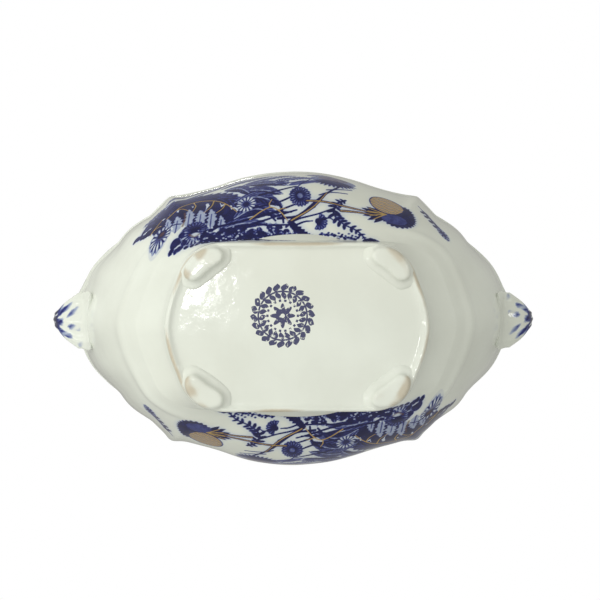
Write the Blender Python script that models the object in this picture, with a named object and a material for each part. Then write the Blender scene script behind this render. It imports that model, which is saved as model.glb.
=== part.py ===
"""Two-handled gravy boat on four corner feet, in metres, +Z up.

The boat is a pressed earthenware vessel: a deep bowl with pointed ends and a scalloped rim, a loop handle
stuck on at each end, and four low pads stuck on under the corners of its recessed base. The origin is on
the table, under the middle of the bowl, with +X towards one end. Every level of the bowl is a closed outline
in plan, and the bowl is the loft through them.
"""

import math

import bmesh
import bpy
import numpy as np

# Driving dimensions of the bowl.
RIM_LENGTH = 0.1850
RIM_WIDTH = 0.1228
RIM_HEIGHT_MIDDLE = 0.0690
RIM_HEIGHT_END = 0.0750
WAIST_LENGTH = 0.1220
WAIST_WIDTH = 0.0664
WAIST_HEIGHT = 0.0120
BASE_LENGTH = 0.0980
BASE_WIDTH = 0.0626
WALL = 0.0036
FLOOR_THICKNESS = 0.0048
LIP_FLARE = 0.0010

# The underside: a flat panel, recessed behind the base's edge.
RECESS_DEPTH = 0.0009
RECESS_MARGIN = 0.0026
EDGE_ROUND = 0.0010

# The four feet, which follow the base's edge at its corners.
FOOT_HEIGHT = 0.0023
FOOT_LENGTH = 0.0220
FOOT_WIDTH = 0.0082
FOOT_INSET = 0.0005
FOOT_ROUND = 0.0008
FOOT_ANGLE = math.radians(36.5)

# The two handles: a strap in a loop, wide where it meets the bowl and narrow where it stands out furthest.
HANDLE_REACH = 0.0062
HANDLE_THICKNESS = 0.0036
HANDLE_TIP_WIDTH = 0.0068
HANDLE_ROOT_WIDTH = 0.0230
HANDLE_TAPER = 0.0098
HANDLE_DROP = 0.0240
HANDLE_BELOW_RIM = 0.0056

# The thickness of slip between a stuck-on piece and the bowl, and how far a handle is carried in to be cut.
JOINT_GAP = 0.0003
CUT_DEPTH = 0.0070

# How finely the pieces are faceted.
BOWL_SEGMENTS = 80
BOWL_LEVELS = 8
FOOT_SEGMENTS = 28
HANDLE_SEGMENTS = 14
HANDLE_STATIONS = 20

# Quarter outlines from +Y round to +X, as (share of half length, share of half width, bulge). A bulge is
# the height of the arc that arrives at that point, as a share of its chord, and is negative on a hollow arc.
RIM_OUTLINE = (
    (0.000, 1.000, 0.0),
    (0.316, 0.917, 0.043),
    (0.563, 0.834, -0.031),
    (0.654, 0.703, 0.0),
    (0.800, 0.521, 0.060),
    (0.968, 0.216, 0.070),
    (1.000, 0.000, 0.090),
)
WAIST_OUTLINE = (
    (0.000, 1.000, 0.0),
    (0.600, 0.950, 0.010),
    (0.860, 0.737, 0.100),
    (1.000, 0.000, 0.030),
)
BASE_OUTLINE = (
    (0.000, 1.000, 0.0),
    (0.530, 0.998, 0.002),
    (0.906, 0.550, 0.195),
    (1.000, 0.000, 0.045),
)

# The bowl's side above the waist, as a cubic curve of (share of the way out to the rim, share of the height).
# The long sides spread low and then stand up, and the ends lean out all the way.
SIDE_CURVE = ((0.0, 0.0), (0.75, 0.22), (0.997, 0.40), (1.0, 1.0))
END_CURVE = ((0.0, 0.0), (0.48, 0.16), (0.86, 0.50), (1.0, 1.0))


def arc_points(start, end, bulge, count=24):
    """Points after start on the arc to end, which stands bulge times its chord to the left of the way there."""
    start, end = np.array(start), np.array(end)
    chord = end - start
    outward = np.array((-chord[1], chord[0]))
    share = np.arange(1, count + 1)[:, None] / count
    return start + chord * share + outward * bulge * 4 * share * (1 - share)


def polar_outline(outline, length, width):
    """(angles, radii) of a quarter outline, with angles rising from +X to +Y."""
    corners = [(x * length / 2, y * width / 2) for x, y, _ in outline]
    points = [np.array(corners[:1])]
    for corner, following, (_, _, bulge) in zip(corners, corners[1:], outline[1:]):
        points.append(arc_points(corner, following, bulge))
    points = np.concatenate(points)[::-1]
    return np.arctan2(points[:, 1], points[:, 0]), np.hypot(points[:, 0], points[:, 1])


def radius_at(angle, outline, length, width):
    """The outline's distance from the middle, at each angle, in all four quarters."""
    folded = np.arctan2(np.abs(np.sin(angle)), np.abs(np.cos(angle)))
    return np.interp(folded, *polar_outline(outline, length, width))


def rim_radius(angle, scallop):
    """The rim's outline, with its scallops at full depth at 1 and smoothed away at 0."""
    spread = np.radians(np.linspace(-14, 14, 15))
    smooth = np.mean(
        [radius_at(angle + turn, RIM_OUTLINE, RIM_LENGTH, RIM_WIDTH) for turn in spread], axis=0
    )
    sharp = radius_at(angle, RIM_OUTLINE, RIM_LENGTH, RIM_WIDTH)
    return smooth + (sharp - smooth) * scallop


def waist_radius(angle):
    return radius_at(angle, WAIST_OUTLINE, WAIST_LENGTH, WAIST_WIDTH)


def base_radius(angle):
    return radius_at(angle, BASE_OUTLINE, BASE_LENGTH, BASE_WIDTH)


def towards_end(angle):
    """0 on the long sides, 1 at the pointed ends, and smooth between them."""
    return np.cos(angle) ** 2


def lip_height(angle):
    """Where the side ends and the rounded lip starts, half a wall below the rim."""
    rise = (RIM_HEIGHT_END - RIM_HEIGHT_MIDDLE) * towards_end(angle) ** 1.5
    return RIM_HEIGHT_MIDDLE + rise - WALL / 2


def side_profile(angle, step):
    """(share of the way out, share of the height) of the bowl's side at a step from 0, its waist, to 1, its rim."""
    weights = ((1 - step) ** 3, 3 * step * (1 - step) ** 2, 3 * step**2 * (1 - step), step**3)
    out, up = 0.0, 0.0
    for weight, (side_out, side_up), (end_out, end_up) in zip(weights, SIDE_CURVE, END_CURVE):
        out = out + weight * (side_out + (end_out - side_out) * towards_end(angle))
        up = up + weight * (side_up + (end_up - side_up) * towards_end(angle))
    return out, up


def bowl_level(angle, step):
    """(radius, height) of the bowl's outer surface at each angle, above the waist."""
    out, up = side_profile(angle, step)
    rim = rim_radius(angle, step**2) + LIP_FLARE * (step**8 - 1)
    radius = waist_radius(angle) + (rim - waist_radius(angle)) * out
    return radius, WAIST_HEIGHT + (lip_height(angle) - WAIST_HEIGHT) * up


def foot_band_level(angle, step):
    """(radius, height) of the hollow band between the base's edge, at step 0, and the waist, at step 1."""
    low = FOOT_HEIGHT + EDGE_ROUND
    radius = base_radius(angle) + (waist_radius(angle) - base_radius(angle)) * step**1.4
    return radius, low + (WAIST_HEIGHT - low) * step * np.ones_like(angle)


def outer_levels(angle):
    """The (radius, height) levels of the bowl's outer surface, from under its edge up to its lip."""
    steps = np.linspace(0, 1, BOWL_LEVELS + 1)
    band = [foot_band_level(angle, step) for step in (0.0, 0.35, 0.7)]
    return band + [bowl_level(angle, step) for step in steps[:-1]] + [bowl_level(angle, 1.0)]


def inner_level(angle, step):
    """(radius, height) of the bowl's inner surface: the outer one moved in by the wall, square to it."""
    nudge = 0.01
    radius, height = bowl_level(angle, step)
    above = bowl_level(angle, min(1.0, step + nudge))
    below = bowl_level(angle, max(0.0, step - nudge))
    rise, run = above[1] - below[1], above[0] - below[0]
    slope = np.hypot(rise, run)
    return radius - WALL * rise / slope, height + WALL * run / slope


def ring(angle, radius, height):
    """One closed loop of points round the bowl's axis."""
    return np.stack((radius * np.cos(angle), radius * np.sin(angle), height * np.ones_like(angle)), axis=1)


def loft(name, rings, bottom=None, top=None):
    """A closed mesh object through loops of equal length, from the lowest to the last, ending in fans."""
    mesh = bmesh.new()
    loops = [[mesh.verts.new(point) for point in points] for points in rings]
    count = len(loops[0])
    for lower, upper in zip(loops, loops[1:]):
        for i in range(count):
            j = (i + 1) % count
            mesh.faces.new((lower[i], lower[j], upper[j], upper[i]))
    for loop, centre, turn in ((loops[0], bottom, -1), (loops[-1], top, 1)):
        if centre is None:
            mesh.faces.new(loop[::turn])
            continue
        middle = mesh.verts.new(centre)
        for i in range(count):
            j = (i + 1) % count
            mesh.faces.new((loop[i], loop[j], middle)[::turn])
    data = bpy.data.meshes.new(name)
    mesh.to_mesh(data)
    mesh.free()
    made = bpy.data.objects.new(name, data)
    bpy.context.scene.collection.objects.link(made)
    return made


def make_bowl():
    """The vessel: underside, outer wall, rounded lip, inner wall and floor in one surface."""
    angle = np.linspace(0, 2 * math.pi, BOWL_SEGMENTS, endpoint=False)
    edge = base_radius(angle)
    panel_height = FOOT_HEIGHT + RECESS_DEPTH
    under = [
        ring(angle, (edge - RECESS_MARGIN) * 0.5, panel_height),
        ring(angle, edge - RECESS_MARGIN, panel_height),
        ring(angle, edge - RECESS_MARGIN + RECESS_DEPTH, FOOT_HEIGHT),
        ring(angle, edge - EDGE_ROUND, FOOT_HEIGHT),
        ring(angle, edge - 0.3 * EDGE_ROUND, FOOT_HEIGHT + 0.3 * EDGE_ROUND),
    ]
    outside = [ring(angle, *level) for level in outer_levels(angle)]
    outer_lip, inner_lip = bowl_level(angle, 1.0), inner_level(angle, 1.0)
    lip = []
    for turn in (30, 60, 90, 120, 150):
        across = (1 - math.cos(math.radians(turn))) / 2
        radius = outer_lip[0] + (inner_lip[0] - outer_lip[0]) * across
        height = outer_lip[1] + (inner_lip[1] - outer_lip[1]) * across
        lip.append(ring(angle, radius, height + WALL / 2 * math.sin(math.radians(turn))))
    steps = np.linspace(1, 0.12, BOWL_LEVELS)
    inside = [ring(angle, *inner_level(angle, step)) for step in steps]
    floor_height = panel_height + FLOOR_THICKNESS
    last_radius, last_height = inner_level(angle, steps[-1])
    for share in (0.35, 0.7, 1.0):
        sink = 1 - (1 - share) ** 2
        radius = last_radius * (1 - 0.22 * share)
        inside.append(ring(angle, radius, last_height + (floor_height - last_height) * sink))
    inside.append(ring(angle, last_radius * 0.4, floor_height))
    return loft(
        "bowl", under + outside + lip + inside, bottom=(0, 0, panel_height), top=(0, 0, floor_height)
    )


def make_envelope():
    """A cutter: the bowl's outer shape, grown by the slip joint and filled up past its rim."""
    angle = np.linspace(0, 2 * math.pi, BOWL_SEGMENTS, endpoint=False)
    edge = base_radius(angle)
    rings = [
        ring(angle, edge - RECESS_MARGIN, FOOT_HEIGHT + RECESS_DEPTH - JOINT_GAP),
        ring(angle, edge - RECESS_MARGIN + RECESS_DEPTH, FOOT_HEIGHT - JOINT_GAP),
        ring(angle, edge - EDGE_ROUND, FOOT_HEIGHT - JOINT_GAP),
        ring(angle, edge + JOINT_GAP, FOOT_HEIGHT + 0.3 * EDGE_ROUND),
    ]
    for radius, height in outer_levels(angle):
        rings.append(ring(angle, radius + 1.6 * JOINT_GAP, height))
    top = bowl_level(angle, 1.0)[0] + 1.6 * JOINT_GAP
    rings.append(ring(angle, top, RIM_HEIGHT_END + 4 * WALL))
    cutter = loft(
        "bowl_envelope",
        rings,
        bottom=(0, 0, FOOT_HEIGHT + RECESS_DEPTH - JOINT_GAP),
        top=(0, 0, RIM_HEIGHT_END + 4 * WALL),
    )
    cutter.hide_render = True
    cutter.display_type = "WIRE"
    return cutter


def base_edge_points():
    """Points round the +X +Y quarter of the base's edge, with their distances along it and inward normals."""
    angle = np.linspace(-0.3, math.pi / 2 + 0.3, 400)
    points = ring(angle, base_radius(angle), 0.0)[:, :2]
    steps = np.linalg.norm(np.diff(points, axis=0), axis=1)
    along = np.concatenate(([0.0], np.cumsum(steps)))
    tangent = np.gradient(points, along, axis=0)
    tangent /= np.linalg.norm(tangent, axis=1)[:, None]
    inward = np.stack((-tangent[:, 1], tangent[:, 0]), axis=1)
    centre = np.interp(FOOT_ANGLE, angle, along)
    return along - centre, points, inward


def foot_ring(shrink, height):
    """A blunt-ended pad outline that follows the base's edge, drawn in by shrink all round."""
    along, points, inward = base_edge_points()
    turn = np.linspace(0, 2 * math.pi, FOOT_SEGMENTS, endpoint=False)
    blunt = 0.75
    across = np.sign(np.sin(turn)) * np.abs(np.sin(turn)) ** blunt
    lengthwise = np.sign(np.cos(turn)) * np.abs(np.cos(turn)) ** blunt
    s = (FOOT_LENGTH / 2 - shrink) * lengthwise
    depth = FOOT_INSET + FOOT_WIDTH / 2 + (FOOT_WIDTH / 2 - shrink) * across
    plan = np.stack([np.interp(s, along, points[:, k] + 0 * s[0]) for k in (0, 1)], axis=1)
    normal = np.stack([np.interp(s, along, inward[:, k]) for k in (0, 1)], axis=1)
    plan = plan + normal * depth[:, None]
    return np.column_stack((plan, np.full(FOOT_SEGMENTS, height)))


def make_foot(name, side_x, side_y, envelope):
    """One corner pad: flat and worn underneath, and cut on top to the base that it is stuck to."""
    rings = [
        foot_ring(FOOT_ROUND, 0.0),
        foot_ring(FOOT_ROUND * 0.3, FOOT_ROUND * 0.3),
        foot_ring(0.0, FOOT_ROUND),
        foot_ring(0.0, FOOT_HEIGHT + 3 * RECESS_DEPTH),
    ]
    mirror = np.array((side_x, side_y, 1.0))
    turn = int(side_x * side_y)
    made = loft(name, [(points * mirror)[::turn] for points in rings])
    cut(made, envelope)
    return made


def end_wall(height):
    """How far out the bowl's end wall stands at a height."""
    levels = [bowl_level(0.0, step) for step in np.linspace(0, 1, 60)]
    return float(np.interp(height, [level[1] for level in levels], [level[0] for level in levels]))


def handle_path():
    """Points of a handle's centre line in X and Z, from inside the bowl's end wall round to below its rim."""
    top = RIM_HEIGHT_END - HANDLE_BELOW_RIM
    low = top - HANDLE_DROP
    tip = RIM_LENGTH / 2 + HANDLE_REACH - HANDLE_THICKNESS / 2
    return (
        (end_wall(low) - CUT_DEPTH, low - 0.16 * HANDLE_DROP),
        (end_wall(low), low),
        (end_wall(low) + 0.66 * (tip - end_wall(low)), low + 0.08 * HANDLE_DROP),
        (tip - 0.05 * HANDLE_REACH, low + 0.36 * HANDLE_DROP),
        (tip, low + 0.66 * HANDLE_DROP),
        (tip - 0.30 * HANDLE_REACH, top - 0.06 * HANDLE_DROP),
        (end_wall(top), top),
        (end_wall(top) - CUT_DEPTH, top - 0.10 * HANDLE_DROP),
    )


def smooth_curve(points, count):
    """Points and unit tangents along a Catmull-Rom curve through the given points."""
    knots = np.array(points)
    knots = np.vstack((2 * knots[0] - knots[1], knots, 2 * knots[-1] - knots[-2]))
    places = []
    for t in np.linspace(0, len(points) - 1 - 1e-9, count):
        k, f = int(t), t - int(t)
        a, b, c, d = knots[k : k + 4]
        places.append(
            0.5 * (2 * b + (c - a) * f + (2 * a - 5 * b + 4 * c - d) * f**2 + (3 * b - a - 3 * c + d) * f**3)
        )
    places = np.array(places)
    tangents = np.gradient(places, axis=0)
    return places, tangents / np.linalg.norm(tangents, axis=1)[:, None]


def handle_width(reach):
    """The strap's width where its middle line has come a distance out from the bowl's axis."""
    tip = RIM_LENGTH / 2 + HANDLE_REACH - HANDLE_THICKNESS / 2
    share = min(1.0, max(0.0, (tip - reach) / HANDLE_TAPER))
    return HANDLE_TIP_WIDTH + (HANDLE_ROOT_WIDTH - HANDLE_TIP_WIDTH) * share


def make_handle(name, side, envelope):
    """One end's loop handle: a strap swept round its path and cut to the wall that it is stuck to."""
    places, tangents = smooth_curve(handle_path(), HANDLE_STATIONS)
    turn = np.linspace(0, 2 * math.pi, HANDLE_SEGMENTS, endpoint=False)
    rings = []
    for (x, z), (along_x, along_z) in zip(places, tangents):
        width = handle_width(x)
        across = HANDLE_THICKNESS / 2 * np.sin(turn)
        rings.append(
            np.stack(
                (side * (x + along_z * across), side * width / 2 * np.cos(turn), z - along_x * across), axis=1
            )
        )
    made = loft(name, [points[::-1] for points in rings])
    cut(made, envelope)
    return made


def cut(made, cutter):
    """Takes the cutter's shape out of the object."""
    modifier = made.modifiers.new("fit_to_bowl", "BOOLEAN")
    modifier.operation = "DIFFERENCE"
    modifier.object = cutter


def glaze(name, colour, roughness):
    material = bpy.data.materials.new(name)
    material.use_nodes = True
    shader = material.node_tree.nodes["Principled BSDF"]
    shader.inputs["Base Color"].default_value = (*colour, 1.0)
    shader.inputs["Roughness"].default_value = roughness
    shader.inputs["Metallic"].default_value = 0.0
    return material


def finish_object(made, material, collection):
    """Files the object under its collection, with its material and smooth round surfaces."""
    bpy.context.scene.collection.objects.unlink(made)
    collection.objects.link(made)
    made.data.materials.append(material)
    made.data.shade_smooth()
    made.data.set_sharp_from_angle(angle=math.radians(40))


def main():
    for old in list(bpy.data.objects):
        bpy.data.objects.remove(old)
    boat = bpy.data.collections.new("gravy_boat")
    cutters = bpy.data.collections.new("cutters")
    bpy.context.scene.collection.children.link(boat)
    bpy.context.scene.collection.children.link(cutters)

    envelope = make_envelope()
    bpy.context.scene.collection.objects.unlink(envelope)
    cutters.objects.link(envelope)

    white = glaze("white_glaze", (0.72, 0.74, 0.68), 0.12)
    blue = glaze("blue_printed_glaze", (0.12, 0.14, 0.34), 0.12)
    worn = glaze("worn_foot_glaze", (0.62, 0.58, 0.47), 0.30)

    finish_object(make_bowl(), white, boat)
    for name, side in (("handle_right", 1), ("handle_left", -1)):
        finish_object(make_handle(name, side, envelope), blue, boat)
    for end_name, side_x in (("right", 1), ("left", -1)):
        for face_name, side_y in (("back", 1), ("front", -1)):
            foot = make_foot(f"foot_{face_name}_{end_name}", side_x, side_y, envelope)
            finish_object(foot, worn, boat)


main()
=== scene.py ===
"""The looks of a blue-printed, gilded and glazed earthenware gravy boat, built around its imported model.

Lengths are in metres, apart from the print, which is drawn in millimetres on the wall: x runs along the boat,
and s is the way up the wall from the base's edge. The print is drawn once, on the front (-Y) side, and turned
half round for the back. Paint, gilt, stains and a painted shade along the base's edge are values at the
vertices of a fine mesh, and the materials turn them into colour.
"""

import math

import bpy
import numpy as np
from mathutils import Matrix, Vector


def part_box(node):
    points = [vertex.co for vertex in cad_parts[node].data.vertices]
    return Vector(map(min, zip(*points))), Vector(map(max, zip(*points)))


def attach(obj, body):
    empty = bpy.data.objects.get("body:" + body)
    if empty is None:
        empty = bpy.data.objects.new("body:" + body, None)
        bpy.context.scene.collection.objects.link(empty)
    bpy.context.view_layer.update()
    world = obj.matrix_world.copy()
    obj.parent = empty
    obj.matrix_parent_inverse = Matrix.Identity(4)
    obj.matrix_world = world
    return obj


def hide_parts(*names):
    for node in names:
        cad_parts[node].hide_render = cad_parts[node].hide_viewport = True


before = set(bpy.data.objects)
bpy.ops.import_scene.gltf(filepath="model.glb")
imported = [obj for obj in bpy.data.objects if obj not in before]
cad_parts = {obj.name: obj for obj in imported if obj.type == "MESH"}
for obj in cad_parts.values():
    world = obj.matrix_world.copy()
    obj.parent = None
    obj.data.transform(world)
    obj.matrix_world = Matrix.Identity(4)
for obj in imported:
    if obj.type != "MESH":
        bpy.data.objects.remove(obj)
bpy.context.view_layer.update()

# Sizes that the frame gives.
BOWL_LOW, BOWL_HIGH = (np.array(corner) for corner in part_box("bowl"))
HANDLE_HIGH = np.array(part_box("handle_right")[1])
RIM_LENGTH = BOWL_HIGH[0] - BOWL_LOW[0]
RIM_WIDTH = BOWL_HIGH[1] - BOWL_LOW[1]
TOP = BOWL_HIGH[2]
FOOT_HEIGHT = BOWL_LOW[2]

# Sizes of the bowl's design.
WALL = 0.0036
RIM_DIP = 0.0060
RIM_INSET = 0.0006
WAIST_LENGTH = 0.1220
WAIST_WIDTH = 0.0664
WAIST_HEIGHT = 0.0120
BASE_LENGTH = 0.0980
BASE_WIDTH = 0.0626
EDGE_ROUND = 0.0010
RECESS_DEPTH = 0.0009
RECESS_MARGIN = 0.0026
FLOOR_THICKNESS = 0.0048
PANEL_HEIGHT = FOOT_HEIGHT + RECESS_DEPTH
LIP_FLARE = 0.0010

# Sizes of the handles and the feet. The insets keep the handle's skin inside its node's box.
HANDLE_DROP = 0.0240
HANDLE_TAPER = 0.0098
HANDLE_TIP_WIDTH = 0.0068
HANDLE_ROOT_WIDTH = 0.0230
HANDLE_THICKNESS = 0.0036
HANDLE_TOP_INSET = 0.0016
HANDLE_TIP_INSET = 0.0021
FOOT_LENGTH = 0.0220
FOOT_WIDTH = 0.0082
FOOT_INSET = 0.0005
FOOT_ANGLE = math.radians(36.5)

# The fine mesh: its grid on the printed sides and at the ends, how far from the middle the printed sides
# reach, its rows on the foot band and on the wall, and how many times coarser it is inside and underneath.
PRINT_GRID = 0.00036
END_GRID = 0.0010
PRINT_REACH = 0.0680
BAND_ROWS = 26
SIDE_ROWS = 176
COARSE = 4

# Outlines: (share of half the length, share of half the width, bulge of the stretch that ends there).
RIM_OUTLINE = (
    (0.000, 1.000, 0.0),
    (0.316, 0.917, 0.043),
    (0.563, 0.834, -0.031),
    (0.654, 0.703, 0.0),
    (0.800, 0.521, 0.060),
    (0.968, 0.216, 0.070),
    (1.000, 0.000, 0.090),
)
WAIST_OUTLINE = ((0.000, 1.000, 0.0), (0.600, 0.950, 0.010), (0.860, 0.737, 0.100), (1.000, 0.000, 0.030))
BASE_OUTLINE = ((0.000, 1.000, 0.0), (0.530, 0.998, 0.002), (0.906, 0.550, 0.195), (1.000, 0.000, 0.045))
# The wall's curve from waist to rim at mid-side and at the ends: (share of the way out, share of the way up).
SIDE_CURVE = ((0.0, 0.0), (0.75, 0.22), (0.997, 0.40), (1.0, 1.0))
END_CURVE = ((0.0, 0.0), (0.48, 0.16), (0.86, 0.50), (1.0, 1.0))

# The mouldings under the lip: (how far it stands proud, how far below the lip it is, half its width).
MOULDINGS = ((0.00045, 0.0018, 0.0008), (-0.00035, 0.0034, 0.0006), (0.00025, 0.0047, 0.0006))
# The clear band under the lip: the print fades out between these distances below it.
PRINT_FADE = (0.0045, 0.0075)

FULL_TURN = 2 * math.pi
FINE = np.linspace(0, FULL_TURN, 2880, endpoint=False)
rng = np.random.default_rng(7)


# -------- small helpers


def smooth(low, high, value):
    """0 below low, 1 above high, and a smooth step between them."""
    share = np.clip((value - low) / (high - low), 0, 1)
    return share * share * (3 - 2 * share)


def smooth_curve(points, count):
    """Points along a Catmull-Rom curve through the given ones."""
    knots = np.array(points, float)
    knots = np.vstack((2 * knots[0] - knots[1], knots, 2 * knots[-1] - knots[-2]))
    t = np.linspace(0, len(points) - 1 - 1e-9, count)
    k = t.astype(int)
    f = (t - k)[:, None]
    a, b, c, d = knots[k], knots[k + 1], knots[k + 2], knots[k + 3]
    bend = 2 * a - 5 * b + 4 * c - d
    twist = 3 * b - a - 3 * c + d
    return 0.5 * (2 * b + (c - a) * f + bend * f**2 + twist * f**3)


def towards(root, length, heading):
    """The point at a length and a heading from a root."""
    return np.asarray(root) + length * np.array((math.cos(heading), math.sin(heading)))


def place_on(path, share):
    """(the point that is a share of the way along a path, the path's heading there)."""
    k = int(share * (len(path) - 2))
    step = path[k + 1] - path[k]
    return path[k], math.atan2(step[1], step[0])


def soft_waves(points, size, height, seed, count=7):
    """A smooth, repeatable unevenness over points, with waves about size long."""
    waves = np.random.default_rng(seed)
    total = np.zeros(len(points))
    for _ in range(count):
        direction = waves.normal(size=3)
        direction /= np.linalg.norm(direction) * size * waves.uniform(0.7, 1.5)
        total += np.sin(points @ direction * FULL_TURN + waves.uniform(0, FULL_TURN))
    return total * height / math.sqrt(count)


# -------- the bowl's surface


def outline_table(outline, length, width, spread):
    """The outline's distance from the middle at each fine angle, with its corners rounded over a spread."""
    corners = [np.array((x * length / 2, y * width / 2)) for x, y, _ in outline]
    points = [corners[0][None]]
    share = np.arange(1, 25)[:, None] / 24
    for start, end, (_, _, bulge) in zip(corners, corners[1:], outline[1:]):
        chord = end - start
        square = np.array((-chord[1], chord[0]))
        points.append(start + chord * share + square * bulge * 4 * share * (1 - share))
    points = np.concatenate(points)[::-1]
    folded = np.arctan2(np.abs(np.sin(FINE)), np.abs(np.cos(FINE)))
    radius = np.interp(folded, np.arctan2(points[:, 1], points[:, 0]), np.hypot(points[:, 0], points[:, 1]))
    distance = np.minimum(FINE, FULL_TURN - FINE)
    kernel = np.exp(-0.5 * (distance / math.radians(spread)) ** 2)
    return np.fft.irfft(np.fft.rfft(radius) * np.fft.rfft(kernel / kernel.sum()), len(radius))


RIM_SHARP = outline_table(RIM_OUTLINE, RIM_LENGTH, RIM_WIDTH, 0.55)
RIM_SOFT = outline_table(RIM_OUTLINE, RIM_LENGTH, RIM_WIDTH, 7.5)
WAIST = outline_table(WAIST_OUTLINE, WAIST_LENGTH, WAIST_WIDTH, 2.0)
BASE = outline_table(BASE_OUTLINE, BASE_LENGTH, BASE_WIDTH, 1.6)


def along(table, angle):
    return np.interp(angle, FINE, table, period=FULL_TURN)


def lip_height(angle):
    """The height of the wall's end at an angle; the rounded lip rises above it."""
    rim_middle = TOP - RIM_INSET - RIM_DIP
    return rim_middle + RIM_DIP * np.abs(np.cos(angle)) ** 3 - WALL / 2


def bowl_level(angle, step):
    """(radius, height) of the outer surface above the waist."""
    weights = ((1 - step) ** 3, 3 * step * (1 - step) ** 2, 3 * step**2 * (1 - step), step**3)
    to_end = np.cos(angle) ** 2
    out, up = 0.0, 0.0
    for weight, (side_out, side_up), (end_out, end_up) in zip(weights, SIDE_CURVE, END_CURVE):
        out = out + weight * (side_out + (end_out - side_out) * to_end)
        up = up + weight * (side_up + (end_up - side_up) * to_end)
    rim = along(RIM_SOFT, angle) + (along(RIM_SHARP, angle) - along(RIM_SOFT, angle)) * step**2
    rim = rim + LIP_FLARE * (step**8 - 1)
    waist = along(WAIST, angle)
    return waist + (rim - waist) * out, WAIST_HEIGHT + (lip_height(angle) - WAIST_HEIGHT) * up


def band_level(angle, step):
    """(radius, height) of the hollow band between the base's edge and the waist."""
    low = FOOT_HEIGHT + EDGE_ROUND
    base, waist = along(BASE, angle), along(WAIST, angle)
    return base + (waist - base) * step**1.5, low + (WAIST_HEIGHT - low) * step * np.ones_like(angle)


def inner_level(angle, step):
    """(radius, height) of the inner surface: the outer one, moved in by WALL square to itself."""
    nudge = 0.01
    radius, height = bowl_level(angle, step)
    above, below = bowl_level(angle, min(1.0, step + nudge)), bowl_level(angle, max(0.0, step - nudge))
    rise, run = above[1] - below[1], above[0] - below[0]
    slope = np.hypot(rise, run)
    return radius - WALL * rise / slope, height + WALL * run / slope


def ring(angle, radius, height):
    return np.stack((radius * np.cos(angle), radius * np.sin(angle), height * np.ones_like(angle)), axis=1)


def column_angles():
    """Half a turn of column angles: close together on the printed side and wider apart round the ends."""
    half = FINE[: len(FINE) // 2]
    radius, _ = bowl_level(half, 0.5)
    x, y = radius * np.cos(half), radius * np.sin(half)
    steps = np.hypot(np.gradient(x), np.gradient(y))
    printed = smooth(PRINT_REACH + 0.006, PRINT_REACH - 0.002, np.abs(x))
    cost = np.cumsum(steps * (printed / PRINT_GRID + (1 - printed) / END_GRID))
    count = 2 * COARSE * int(cost[-1] / (2 * COARSE))
    return np.interp(np.linspace(0, cost[-1], count, endpoint=False), cost, half)


# -------- the print


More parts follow.
